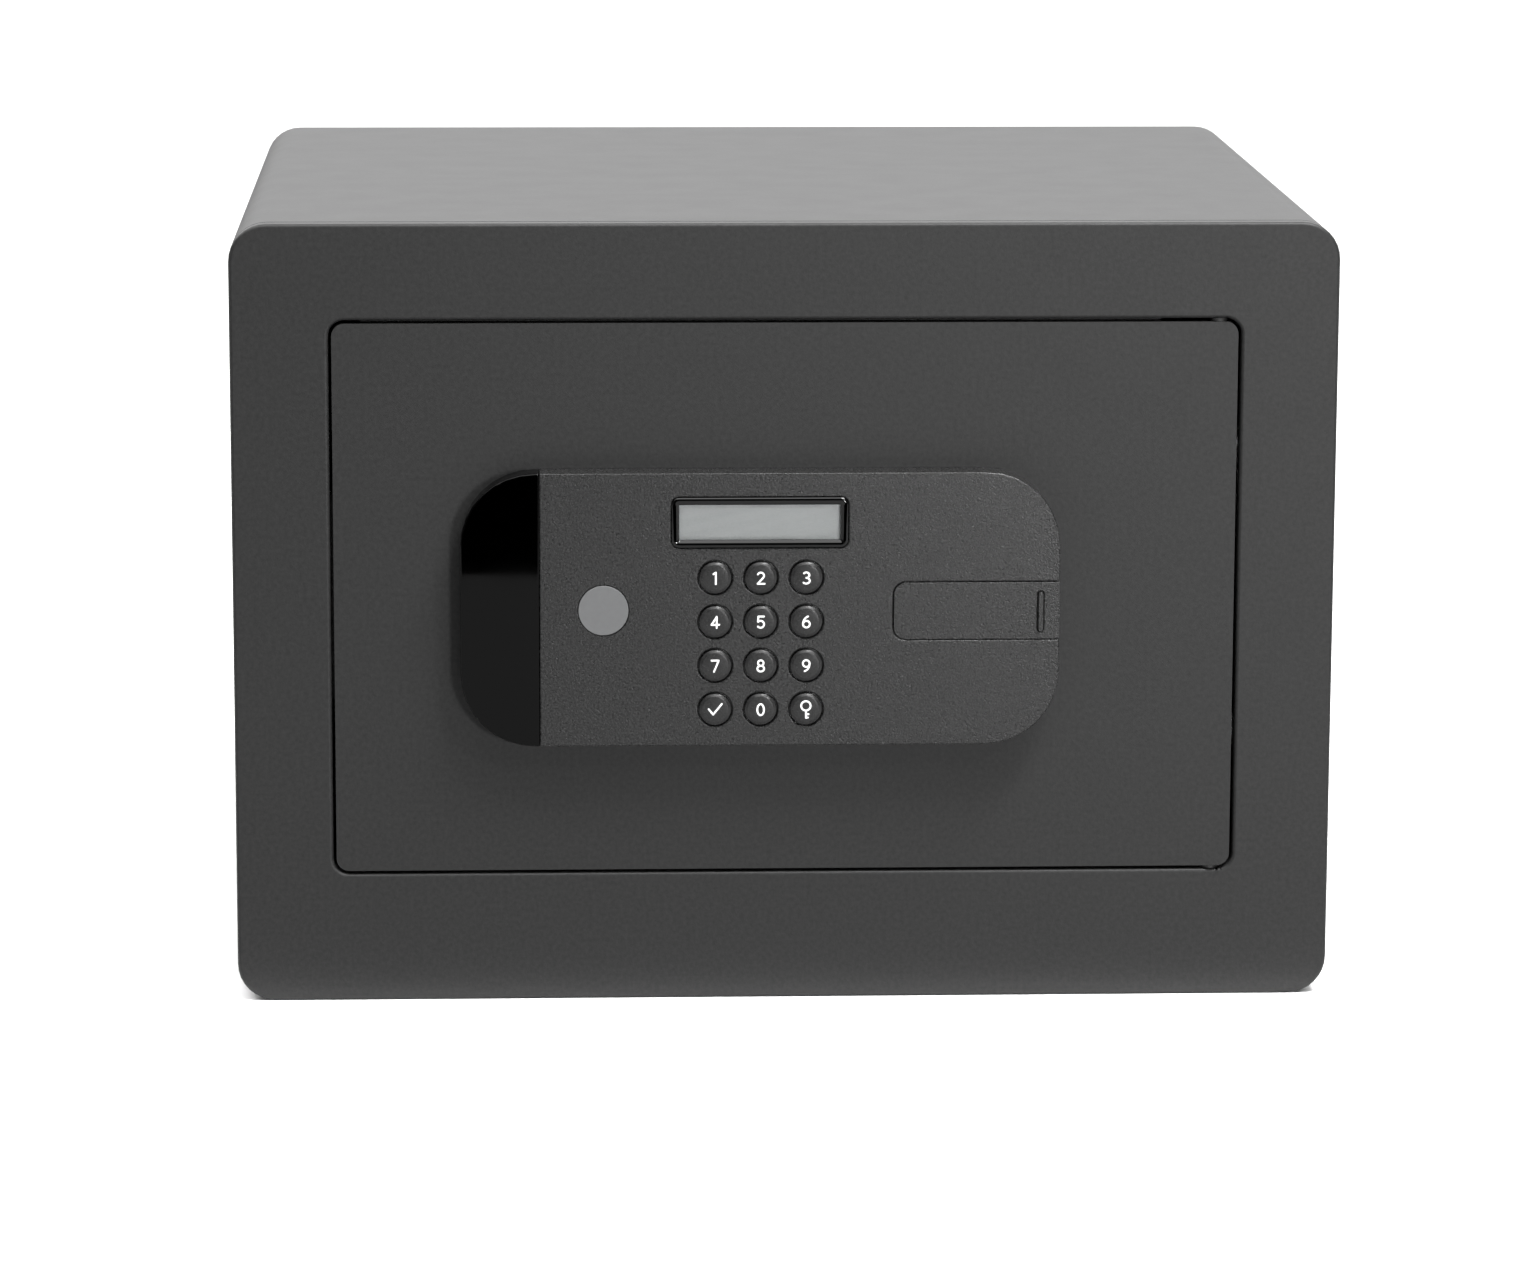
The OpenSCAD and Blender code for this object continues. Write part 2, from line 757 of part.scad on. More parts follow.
module cable_grommet() {
    color(black_plastic) difference() {
        rod_y(cable_hole[0], cable_hole[1], 0, plate_t, cable_hole_r);
        rod_y(cable_hole[0], cable_hole[1], -1, plate_t + 1, cable_hole_r - grommet_wall);
    }
}

// Lock panel

module panel_outline(inset) {
    polygon(round_box(panel_x0 + inset, panel_x1 - inset, panel_z0 + inset, panel_z1 - inset,
        panel_r - inset));
}

module right_of(x) {
    translate([x, panel_z0 - 1]) square([panel_x1 - x + 1, panel_h + 2]);
}

// Slot of the sliding cover: open at its right end, and wider at the depth of the cover's tongues
module slot_outline(widen, fit) {
    polygon(round_box(slot_x0 + fit, panel_x1 + 20, slot_z0 - widen + fit, slot_z1 + widen - fit,
        slot_r - widen - fit, 6));
}

module fascia() {
    color(panel_grey) difference() {
        union() {
            difference() {
                slab(-panel_t, 0) intersection() {
                    panel_outline(0);
                    right_of(grip_x1);
                }
                slab(-panel_t + moulding_t, 1) intersection() {
                    panel_outline(moulding_t);
                    right_of(grip_x1 + moulding_t);
                }
            }
            for (p = fascia_posts) rod_y(p[0], p[1], -panel_t + moulding_t - eps, 0, panel_post_r);
            block(slot_x0 - slot_rim, panel_x1 - eps, -panel_t + 1, slot_floor_y + moulding_t,
                slot_z0 - slot_rim, slot_z1 + slot_rim);
        }
        slab(-panel_t - 1, tongue_y + eps) slot_outline(0, 0);
        slab(tongue_y, slot_floor_y) slot_outline(tongue_w, 0);
        rod_y(lock_x, lock_z, tongue_y, 0, lock_r + lock_fit);
        slab(-panel_t - 1, -panel_t + moulding_t + 1)
            polygon(round_box(lcd_x0, lcd_x1, lcd_z0, lcd_z1, lcd_r, 6));
        for (k = [0:len(key_names) - 1])
            rod_y(key_x(k), key_z(k), -panel_t - 1, -panel_t + moulding_t + 1, key_r + key_gap);
        rod_y(badge_x, panel_mid_z, -panel_t - 1, -panel_t + badge_sunk, badge_r + running_fit);
        for (p = fascia_posts) rod_y(p[0], p[1], panel_post_bore, 1, screw_r);
    }
}

// Gloss end that overhangs a finger recess
module grip_end() {
    hollow_wall = 2.5;
    hollow_z = recess_z - 6;
    color(gloss_black) difference() {
        slab(-panel_t, 0) difference() {
            panel_outline(0);
            right_of(grip_x1);
        }
        block(panel_x0 - 1, panel_x0 + recess_w, -panel_t + grip_wall, 1,
            panel_mid_z - recess_z, panel_mid_z + recess_z);
        block(panel_x0 + recess_w + hollow_wall, grip_x1 - hollow_wall, -panel_t + hollow_wall, 1,
            panel_mid_z - hollow_z, panel_mid_z + hollow_z);
        for (p = grip_posts) rod_y(p[0], p[1], panel_post_bore, 1, screw_r);
    }
}

module fascia_screws() {
    head_r = 2.8;
    head_h = 1.8;
    color(zinc) for (p = concat(fascia_posts, grip_posts))
        screw_y(p[0], p[1], panel_post_bore + 0.5, plate_t, screw_r, head_r, head_h);
}

module lcd_pocket(fit) {
    edge = bezel_rebate + fit;
    polygon(round_box(lcd_x0 + edge, lcd_x1 - edge, lcd_z0 + edge, lcd_z1 - edge, 1, 4));
}

module display_bezel() {
    inner_r = 0.6;
    color(gloss_black) difference() {
        slab(bezel_y, bezel_y + bezel_t) difference() {
            polygon(round_box(lcd_x0, lcd_x1, lcd_z0, lcd_z1, lcd_r, 6));
            polygon(round_box(lcd_x0 + bezel_w, lcd_x1 - bezel_w, lcd_z0 + bezel_w, lcd_z1 - bezel_w,
                inner_r, 4));
        }
        slab(bezel_y + window_sunk, bezel_y + bezel_t + 1) lcd_pocket(0);
    }
}

module display_window() {
    y0 = bezel_y + window_sunk;
    color([0.8, 0.85, 0.85, 0.4]) slab(y0, y0 + window_t) lcd_pocket(0.1);
}

module display_module() {
    y0 = bezel_y + window_sunk + window_t;
    module_t = 2.8;
    color([0.5, 0.52, 0.5]) slab(y0, y0 + module_t) lcd_pocket(0.2);
}

module circuit_board() {
    y1 = board_y0 + board_t;
    x0 = -60;
    x1 = 30;
    edge_z = 5;
    plug_x = 16;
    plug_y1 = -1.2;
    chip_x = -30;
    chip_w = 12;
    chip_t = 1.4;
    color([0.05, 0.25, 0.12]) {
        block(x0, x1, board_y0, y1, panel_z0 + edge_z, panel_z1 - edge_z);
        block(plug_x, x1 - 0.5, y1 - eps, plug_y1, cable_hole[1] - edge_z, cable_hole[1] + edge_z);
        block(chip_x, chip_x + chip_w, y1 - eps, y1 + chip_t,
            panel_mid_z - chip_w / 2, panel_mid_z + chip_w / 2);
    }
}

module keypad_mat() {
    edge_x = 11;
    edge_z = 6.4;
    color([0.3, 0.3, 0.31]) slab(key_flange_y + key_travel + 0.1, board_y0)
        polygon(round_box(key_x(0) - edge_x, key_x(2) + edge_x, key_z(11) - edge_z, key_z(0) + edge_z, 2, 4));
}

module badge_disc() {
    color([0.55, 0.56, 0.58])
        rod_y(badge_x, panel_mid_z, -panel_t - badge_proud, -panel_t + badge_sunk, badge_r);
}

// Centre of each key, counted in rows from the top left
function key_x(k) = keys_mid_x + (k % 3 - 1) * key_pitch_x;
function key_z(k) = keys_mid_z + (1.5 - floor(k / 3)) * key_pitch_z;

module key(k) {
    edge_r = 1.3;
    flange_r = key_r + key_gap + 0.8;
    top = key_flange_y + panel_t + key_proud;
    profile = concat(
        [[0, 0], [flange_r, 0], [flange_r, key_flange_t], [key_r, key_flange_t]],
        [for (a = [0:15:90]) [key_r - edge_r + edge_r * cos(a), top - edge_r + edge_r * sin(a)]],
        [[0, top]]
    );
    color(panel_grey)
        translate([key_x(k), key_flange_y - cabinet_d / 2, key_z(k)])
            rotate([90, 0, 0]) rotate_extrude() polygon(profile);
}

// Emergency lock

module lock_cylinder() {
    color(zinc) difference() {
        rod_y(lock_x, lock_z, lock_y0, lock_y1, lock_r);
        rod_y(lock_x, lock_z, lock_y0 - 1, lock_y1 + 1, plug_r + running_fit);
    }
}

module cylinder_nut() {
    nut_t = 4;
    nut_r = 13;
    color(zinc) difference() {
        translate([lock_x, plate_t - cabinet_d / 2, lock_z]) rotate([-90, 0, 0])
            cylinder(r = nut_r, h = nut_t, $fn = 6);
        rod_y(lock_x, lock_z, plate_t - 1, plate_t + nut_t + 1, lock_r);
    }
}

module lock_plug() {
    keyway_w = 1.6;
    keyway_h = 7.2;
    keyway_len = 20;
    color(brass) difference() {
        union() {
            rod_y(lock_x, lock_z, lock_y0 + 0.1, plug_end_y, plug_r);
            block(lock_x - plug_tail, lock_x + plug_tail, lock_y1, plug_end_y + cam_t,
                lock_z - plug_tail, lock_z + plug_tail);
        }
        block(lock_x - keyway_w / 2, lock_x + keyway_w / 2, lock_y0 - 1, lock_y0 + keyway_len,
            lock_z - keyway_h / 2, lock_z + keyway_h / 2);
        rod_y(lock_x, lock_z, lock_y1 - 6, plug_end_y + cam_t + 1, screw_r);
    }
}

// Flat cam that points left at rest and up when the key is turned clockwise
module lock_cam() {
    y1 = plug_end_y + cam_t;
    hub_r = 7.5;
    color(zinc) difference() {
        union() {
            rod_y(lock_x, lock_z, plug_end_y, y1, hub_r);
            block(lock_x - cam_len, lock_x, plug_end_y, y1, lock_z - cam_tip_w / 2, lock_z + cam_tip_w / 2);
        }
        block(lock_x - plug_tail, lock_x + plug_tail, plug_end_y - 1, y1 + 1,
            lock_z - plug_tail, lock_z + plug_tail);
    }
}

module cam_screw() {
    head_r = 4.6;
    head_h = 1.8;
    color(zinc) screw_y(lock_x, lock_z, lock_y1 - 5, plug_end_y + cam_t, screw_r, head_r, head_h);
}

// Thumb rib of the sliding cover
module rib_outline(grow) {
    polygon(round_box(rib_x - grow, rib_x + rib_w + grow, slot_z0 + 2.8 - grow, slot_z1 - 3.4 + grow,
        rib_w / 2 + grow - 0.05, 6));
}

// Sliding cover of the emergency lock, with a thumb rib in a fine groove near its right end
module key_cover() {
    floor_y = slot_floor_y - cover_fit;
    end_trim = 2;
    color(panel_grey) {
        difference() {
            intersection() {
                union() {
                    slab(-panel_t, floor_y) slot_outline(0, cover_fit);
                    slab(tongue_y + 0.1, floor_y) slot_outline(tongue_w, cover_fit);
                }
                block(slot_x0, panel_x1, -panel_t - 1, 0, slot_z0 - end_trim, slot_z1 + end_trim);
            }
            slab(-panel_t - 1, -panel_t + rib_groove) rib_outline(rib_groove);
        }
        slab(-panel_t - rib_proud, -panel_t + rib_groove + eps) rib_outline(0);
    }
}

cabinet_wrap();
front_frame();
back_panel();
door_stops();
hinge_washers();
floor_mat();
door_plate();
hinge_pins();
lock_case();
hinge_dogs();
inner_cover();
inner_cover_screws();
bolt_bushes();
bolt_guide();
locking_bolts();
bolt_carriage();
bolt_screws();
gearbox();
motor_can();
motor_bracket();
motor_screws();
output_shaft();
drive_pinion();
battery_tray();
battery_cells();
battery_contacts();
battery_cover();
reset_switch();
reset_button();
motor_cable();
battery_cable();
cable_grommet();
fascia();
grip_end();
display_bezel();
display_window();
display_module();
circuit_board();
keypad_mat();
badge_disc();
fascia_screws();
lock_cylinder();
cylinder_nut();
lock_plug();
lock_cam();
cam_screw();
key_cover();
for (k = [0:len(key_names) - 1])
    key(k);
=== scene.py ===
import json
import math

import bmesh
import bpy
from mathutils import Matrix, Vector, noise


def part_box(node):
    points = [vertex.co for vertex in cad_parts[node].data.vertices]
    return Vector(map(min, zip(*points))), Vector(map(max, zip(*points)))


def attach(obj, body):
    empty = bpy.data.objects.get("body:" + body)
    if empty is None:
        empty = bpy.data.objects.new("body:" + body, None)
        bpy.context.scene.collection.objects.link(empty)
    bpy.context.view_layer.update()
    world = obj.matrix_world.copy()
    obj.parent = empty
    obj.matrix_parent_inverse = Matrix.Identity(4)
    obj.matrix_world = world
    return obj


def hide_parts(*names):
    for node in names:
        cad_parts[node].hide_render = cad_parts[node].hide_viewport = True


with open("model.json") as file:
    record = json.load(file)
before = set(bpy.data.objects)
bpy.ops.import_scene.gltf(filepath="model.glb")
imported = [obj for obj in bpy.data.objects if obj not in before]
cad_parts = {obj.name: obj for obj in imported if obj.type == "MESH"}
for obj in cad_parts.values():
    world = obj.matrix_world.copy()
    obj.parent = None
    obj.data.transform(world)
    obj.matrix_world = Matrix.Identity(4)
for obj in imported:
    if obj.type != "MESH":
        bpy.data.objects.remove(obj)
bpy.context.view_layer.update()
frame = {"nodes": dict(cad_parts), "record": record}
nodes = frame["nodes"]
MM = 0.001


# The front face, which the camera and the cards stand off from, and the keys in their order

front_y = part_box("front_frame")[0].y
KEYS = ["1", "2", "3", "4", "5", "6", "7", "8", "9", "tick", "0", "lock"]


# Camera: in front of the safe, a little above it and a little to its left

CAMERA_SIDE = -0.085
CAMERA_BACK = 1.811
CAMERA_HEIGHT = 0.463
CAMERA_PITCH = 10.75
CAMERA_YAW = 2.495
CAMERA_ROLL = 0.18
CAMERA_LENS = 136.4


def make_camera():
    data = bpy.data.cameras.new("camera")
    data.sensor_width = 36.0
    data.lens = CAMERA_LENS
    data.clip_start = 0.05
    data.clip_end = 100.0
    camera = bpy.data.objects.new("camera", data)
    bpy.context.scene.collection.objects.link(camera)
    pitch, yaw, roll = (math.radians(a) for a in (CAMERA_PITCH, CAMERA_YAW, CAMERA_ROLL))
    forward = Vector((math.sin(yaw) * math.cos(pitch), math.cos(yaw) * math.cos(pitch), -math.sin(pitch)))
    level = Vector((math.cos(yaw), -math.sin(yaw), 0.0))
    rise = level.cross(forward)
    right = level * math.cos(roll) + rise * math.sin(roll)
    up = rise * math.cos(roll) - level * math.sin(roll)
    camera.matrix_world = Matrix((
        (right.x, up.x, -forward.x, CAMERA_SIDE),
        (right.y, up.y, -forward.y, front_y - CAMERA_BACK),
        (right.z, up.z, -forward.z, CAMERA_HEIGHT),
        (0.0, 0.0, 0.0, 1.0),
    ))
    bpy.context.scene.camera = camera


# Stage and lights: a white floor, with a grey and a black card on it that only the safe sees

FLOOR_HALF = 12.0
CARD_HALF = 2.5
CARD_Z = 0.002
GREY_FROM = 0.01
BLACK_FROM = 0.78
BLACK_TO = 3.0

# Each softbox has a place, a target, a size and a power in watts
DOOR_MIDDLE = (0.0, -0.15, 0.13)
SOFTBOXES = {
    "key": ((1.0, -1.5, 1.25), DOOR_MIDDLE, (0.2, 0.2), 7.5),
    "sheen": ((0.50, -1.80, 0.22), DOOR_MIDDLE, (0.22, 0.22), 11.0),
    "upper": ((0.7, -0.75, 1.9), DOOR_MIDDLE, (1.0, 0.35), 62.0),
    "overhead": ((0.1, -0.6, 2.4), (0.0, -0.4, 0.1), (3.0, 3.0), 98.0),
    "behind": ((0.0, 5.5, 2.3), (0.0, 0.0, 0.25), (8.0, 3.0), 138.0),
    "far_floor": ((0.0, 3.5, 3.0), (0.0, 3.5, 0.0), (6.0, 3.0), 65.0),
    "left_floor": ((-1.1, 0.3, 1.4), (-0.6, 0.15, 0.0), (1.2, 0.8), 16.0),
}
WORLD_FRONT = 0.4
WORLD_BACK = 10.0


def add_object(name, mesh, material):
    mesh.materials.append(material)
    piece = bpy.data.objects.new(name, mesh)
    bpy.context.scene.collection.objects.link(piece)
    return piece


def flat_sheet(name, x0, x1, y0, y1, z, material):
    mesh = bpy.data.meshes.new(name)
    mesh.from_pydata([(x0, y0, z), (x1, y0, z), (x1, y1, z), (x0, y1, z)], [], [(0, 1, 2, 3)])
    return add_object(name, mesh, material)


def softbox(name, place, target, size, power):
    data = bpy.data.lights.new(name, "AREA")
    data.shape = "RECTANGLE"
    data.size, data.size_y = size
    data.energy = power
    light = bpy.data.objects.new(name, data)
    bpy.context.scene.collection.objects.link(light)
    light.location = place
    light.rotation_mode = "QUATERNION"
    light.rotation_quaternion = (Vector(target) - Vector(place)).to_track_quat("-Z", "Y")
    light.visible_camera = False


def make_card(name, near, far, level):
    finish = card_grey(name, level)
    card = flat_sheet(name, -CARD_HALF, CARD_HALF, front_y - far, front_y - near, CARD_Z, finish)
    card.visible_camera = False
    card.visible_shadow = False
    return card


def make_stage():
    floor = flat_sheet("floor", -FLOOR_HALF, FLOOR_HALF, -FLOOR_HALF, FLOOR_HALF, 0.0, floor_paint())
    dark_card = make_card("dark_card", BLACK_FROM, BLACK_TO, 0.0)
    grey_card = make_card("grey_card", GREY_FROM, BLACK_FROM, 0.3)
    for name, (place, target, size, power) in SOFTBOXES.items():
        softbox(name, place, target, size, power)
    make_world()
    bpy.context.scene.view_settings.view_transform = "Standard"


def make_world():
    """A plain sky that is brighter behind the safe than in front of it."""
    world = bpy.data.worlds.new("studio")
    bpy.context.scene.world = world
    world.use_nodes = True
    tree = world.node_tree
    sky = tree.nodes["Background"]
    where = tree.nodes.new("ShaderNodeTexCoord")
    split = tree.nodes.new("ShaderNodeSeparateXYZ")
    level = tree.nodes.new("ShaderNodeMapRange")
    level.inputs["From Min"].default_value = -1.0
    level.inputs["From Max"].default_value = 1.0
    level.inputs["To Min"].default_value = WORLD_FRONT
    level.inputs["To Max"].default_value = WORLD_BACK
    tree.links.new(where.outputs["Generated"], split.inputs[0])
    tree.links.new(split.outputs["Y"], level.inputs["Value"])
    tree.links.new(level.outputs["Result"], sky.inputs["Strength"])


# Materials: every one is made of nodes, in object coordinates

def grey(level, cool=0.0):
    return (level, level * (1 + cool / 2), level * (1 + cool))


class Finish:
    """A Principled material, with the node patterns that the finishes share."""

    def __init__(self, name, colour, roughness, metallic=0.0, ior=1.5):
        self.material = bpy.data.materials.new(name)
        self.material.use_nodes = True
        self.tree = self.material.node_tree
        self.shader = self.tree.nodes["Principled BSDF"]
        self.shader.inputs["Base Color"].default_value = (*colour, 1.0)
        self.shader.inputs["Roughness"].default_value = roughness
        self.shader.inputs["Metallic"].default_value = metallic
        self.shader.inputs["IOR"].default_value = ior
        self.where = self.tree.nodes.new("ShaderNodeTexCoord").outputs["Object"]
        self.normal = None

    def link(self, a, b):
        self.tree.links.new(a, b)

    def noise(self, scale, detail=2.0, roughness=0.5, stretch=(1.0, 1.0, 1.0)):
        squeeze = self.tree.nodes.new("ShaderNodeMapping")
        squeeze.inputs["Scale"].default_value = stretch
        node = self.tree.nodes.new("ShaderNodeTexNoise")
        node.inputs["Scale"].default_value = scale
        node.inputs["Detail"].default_value = detail
        node.inputs["Roughness"].default_value = roughness
        self.link(self.where, squeeze.inputs["Vector"])
        self.link(squeeze.outputs[0], node.inputs["Vector"])
        return node.outputs["Fac"]

    def cells(self, scale):
        node = self.tree.nodes.new("ShaderNodeTexVoronoi")
        node.feature = "SMOOTH_F1"
        node.inputs["Scale"].default_value = scale
        node.inputs["Smoothness"].default_value = 0.7
        self.link(self.where, node.inputs["Vector"])
        return node.outputs["Distance"]

    def tint(self, value, dark, light, start=0.3, stop=0.7):
        ramp = self.tree.nodes.new("ShaderNodeValToRGB")
        for element, position, colour in zip(ramp.color_ramp.elements, (start, stop), (dark, light)):
            element.position = position
            element.color = (*colour, 1.0)
        self.link(value, ramp.inputs["Fac"])
        self.link(ramp.outputs["Color"], self.shader.inputs["Base Color"])

    def rough(self, value, low, high, start=0.3, stop=0.7):
        span = self.tree.nodes.new("ShaderNodeMapRange")
        span.inputs["From Min"].default_value = start
        span.inputs["From Max"].default_value = stop
        span.inputs["To Min"].default_value = low
        span.inputs["To Max"].default_value = high
        self.link(value, span.inputs["Value"])
        self.link(span.outputs["Result"], self.shader.inputs["Roughness"])

    def bump(self, value, strength, distance):
        node = self.tree.nodes.new("ShaderNodeBump")
        node.inputs["Strength"].default_value = strength
        node.inputs["Distance"].default_value = distance
        self.link(value, node.inputs["Height"])
        if self.normal:
            self.link(self.normal, node.inputs["Normal"])
        self.normal = node.outputs["Normal"]
        self.link(self.normal, self.shader.inputs["Normal"])


def floor_paint():
    f = Finish("floor_paint", grey(0.93), 0.9)
    f.tint(f.noise(3.0), grey(0.92), grey(0.94))
    return f.material


def card_grey(name, level):
    f = Finish(name, grey(level), 1.0, ior=1.0)
    f.tint(f.noise(20.0), grey(level), grey(level + 0.002))
    return f.material


def powder_coat():
    f = Finish("powder_coat", grey(0.02), 0.5, ior=1.36)
    f.tint(f.noise(700.0, 3.0, 0.6), grey(0.013), grey(0.021))
    f.rough(f.noise(60.0, 4.0), 0.49, 0.51)
    f.bump(f.noise(1500.0, 2.0), 0.35, 0.00006)
    f.bump(f.noise(420.0, 1.0), 0.25, 0.00008)
    return f.material


def grained_plastic(name, dark, light, rough_low, rough_high, scale, depth):
    f = Finish(name, grey(light), rough_high, ior=1.4)
    grain = f.noise(scale, 3.0, 0.7)
    f.tint(grain, grey(dark), grey(light), 0.38, 0.62)
    f.rough(f.noise(scale * 0.7, 2.0), rough_low, rough_high)
    f.bump(grain, 0.6, depth)
    f.bump(f.cells(scale * 1.3), 0.4, depth * 0.6)
    return f.material


def gloss_black(name, ior):
    f = Finish(name, grey(0.0), 0.03, ior=ior)
    f.rough(f.noise(60.0, 4.0), 0.02, 0.04)
    f.bump(f.noise(45.0, 1.0), 0.02, 0.0002)
    return f.material


def window_clear():
    f = Finish("window_clear", (1.0, 1.0, 1.0), 0.05)
    clear = f.tree.nodes.new("ShaderNodeBsdfTransparent")
    clear.inputs["Color"].default_value = (0.93, 0.94, 0.94, 1.0)
    shine = f.tree.nodes.new("ShaderNodeBsdfGlossy")
    shine.inputs["Roughness"].default_value = 0.05
    edge = f.tree.nodes.new("ShaderNodeFresnel")
    edge.inputs["IOR"].default_value = 1.3
    mix = f.tree.nodes.new("ShaderNodeMixShader")
    f.link(edge.outputs[0], mix.inputs["Fac"])
    f.link(clear.outputs[0], mix.inputs[1])
    f.link(shine.outputs[0], mix.inputs[2])
    f.link(mix.outputs[0], f.tree.nodes["Material Output"].inputs["Surface"])
    f.tree.nodes.remove(f.shader)
    return f.material


def display_grey():
    f = Finish("display_grey", grey(0.8), 0.4)
    f.tint(f.noise(2500.0, 1.0), grey(0.56), grey(0.60))
    return f.material


def brushed(name, dark, light, stretch, rough_low=0.25, rough_high=0.42, metallic=1.0):
    f = Finish(name, light, rough_high, metallic)
    grain = f.noise(700.0, 4.0, 0.6, stretch)
    f.tint(grain, dark, light)
    f.rough(grain, rough_low, rough_high)
    f.bump(grain, 0.12, 0.00004)
    return f.material


def moulded(name, colour, roughness=0.45, depth=0.00004, scale=900.0):
    f = Finish(name, colour, roughness)
    f.tint(f.noise(scale, 3.0), tuple(0.85 * c for c in colour), colour)
    f.rough(f.noise(scale * 0.3, 2.0), roughness - 0.06, roughness + 0.06)
    f.bump(f.noise(scale * 1.5, 2.0), 0.3, depth)
    return f.material


def felt():
    f = Finish("felt", grey(0.03), 0.95)
    f.shader.inputs["Sheen Weight"].default_value = 0.35
    f.shader.inputs["Sheen Roughness"].default_value = 0.5
    f.tint(f.noise(1200.0, 5.0, 0.75), grey(0.012), grey(0.05), 0.35, 0.68)
    f.bump(f.noise(900.0, 5.0, 0.8), 0.9, 0.0005)
    return f.material


def glowing_legend_white():
    f = Finish("glowing_legend_white", grey(0.9), 0.4)
    f.tint(f.noise(3000.0, 2.0), grey(0.86), grey(0.93))
    # Painted glow: emission makes the white legends give off a faint light of their own, though they are
    # no lamp
    f.shader.inputs["Emission Color"].default_value = (1.0, 1.0, 1.0, 1.0)
    f.shader.inputs["Emission Strength"].default_value = 0.1
    return f.material


STEEL = (grey(0.42, 0.03), grey(0.58, 0.03))
CHROME = (grey(0.68, 0.02), grey(0.74, 0.02))
ZINC = ((0.46, 0.45, 0.40), (0.62, 0.60, 0.54))
BRASS = ((0.50, 0.36, 0.15), (0.66, 0.49, 0.22))
BADGE = (grey(0.125, 0.03), grey(0.14, 0.03))
EVEN = (1.0, 1.0, 1.0)


def make_materials():
    return {
        "powder_coat": powder_coat(),
        "bright_steel": brushed("bright_steel", *STEEL, (1.0, 1.0, 12.0)),
        "bolt_chrome": brushed("bolt_chrome", *CHROME, (12.0, 1.0, 1.0), 0.08, 0.16),
        "zinc_plate": brushed("zinc_plate", *ZINC, EVEN, 0.32, 0.45),
        "brass": brushed("brass_turned", *BRASS, (1.0, 12.0, 1.0)),
        "panel_plastic": grained_plastic("panel_plastic", 0.004, 0.030, 0.25, 0.31, 1500.0, 0.00014),
        "key_plastic": grained_plastic("key_plastic", 0.012, 0.024, 0.22, 0.28, 1900.0, 0.00004),
        "gloss_black": gloss_black("gloss_black", 1.25),
        "window": window_clear(),
        "display": display_grey(),
        "board": moulded("solder_mask", (0.02, 0.10, 0.045), 0.35),
        "silicone": moulded("silicone", grey(0.08), 0.6),
        "badge": brushed("badge_metal", *BADGE, EVEN, 0.5, 0.6, 0.2),
        "black_nylon": moulded("black_nylon", grey(0.018), 0.5, 0.00008),
        "white_acetal": moulded("white_acetal", (0.72, 0.72, 0.69), 0.38),
        "cell_jacket": moulded("cell_jacket", (0.45, 0.31, 0.10), 0.25),
        "red_jacket": moulded("red_jacket", (0.42, 0.02, 0.015)),
        "black_jacket": moulded("black_jacket", grey(0.015)),
        "reset_red": moulded("reset_red", (0.50, 0.02, 0.012), 0.3),
        "mat_felt": felt(),
    }


# Mesh tools

LEAST_CORNER = 0.3 * MM
WELD_REACH = 0.002 * MM


def rounded_outline(x0, x1, z0, z1, r, steps=8):
    corners = [(x1 - r, z0 + r, -90), (x1 - r, z1 - r, 0), (x0 + r, z1 - r, 90), (x0 + r, z0 + r, 180)]
    turns = [(cx, cz, math.radians(a + 90 * i / steps)) for cx, cz, a in corners for i in range(steps + 1)]
    return [(cx + r * math.cos(a), cz + r * math.sin(a)) for cx, cz, a in turns]


def finish_mesh(bm, name, sharp_degrees=35.0):
    bmesh.ops.recalc_face_normals(bm, faces=bm.faces)
    for face in bm.faces:
        face.smooth = True
    for edge in bm.edges:
        if len(edge.link_faces) == 2 and edge.calc_face_angle() > math.radians(sharp_degrees):
            edge.smooth = False
    mesh = bpy.data.meshes.new(name)
    bm.to_mesh(mesh)
    bm.free()
    return mesh


def add_piece(name, mesh, material, body, slot, *replaced):
    piece = add_object(name, mesh, material)
    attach(piece, body)
    if replaced:
        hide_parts(*replaced)
    return piece


def lathe(profile, centre, segments=72):
    """Turns a profile of (radius, depth) points about an axis along Y."""
    bm = bmesh.new()
    rings = []
    for radius, depth in profile:
        if radius == 0:
            rings.append([bm.verts.new((centre.x, centre.y + depth, centre.z))])
            continue
        turn = [2 * math.pi * i / segments for i in range(segments)]
        rings.append([bm.verts.new((centre.x + radius * math.cos(a), centre.y + depth,
                                    centre.z + radius * math.sin(a))) for a in turn])
    for low, high in zip(rings, rings[1:]):
        for i in range(segments):
            j = i + 1
            corners = [low[i % len(low)], low[j % len(low)], high[j % len(high)], high[i % len(high)]]
            bm.faces.new(list(dict.fromkeys(corners)))
    return bm


def swept_frame(box, profile, corner_r):
    """Sweeps a profile of (inset, y) points round a rectangle with rounded corners."""
    (x0, z0), (x1, z1) = box
    bm = bmesh.new()
    rings = []
    for inset, y in profile:
        r = max(corner_r - inset, LEAST_CORNER)
        outline = rounded_outline(x0 + inset, x1 - inset, z0 + inset, z1 - inset, r)
        rings.append([bm.verts.new((x, y, z)) for x, z in outline])
    count = len(rings[0])
    for low, high in zip(rings, rings[1:] + rings[:1]):
        for i in range(count):
            j = (i + 1) % count
            bm.faces.new((low[i], low[j], high[j], high[i]))
    return bm


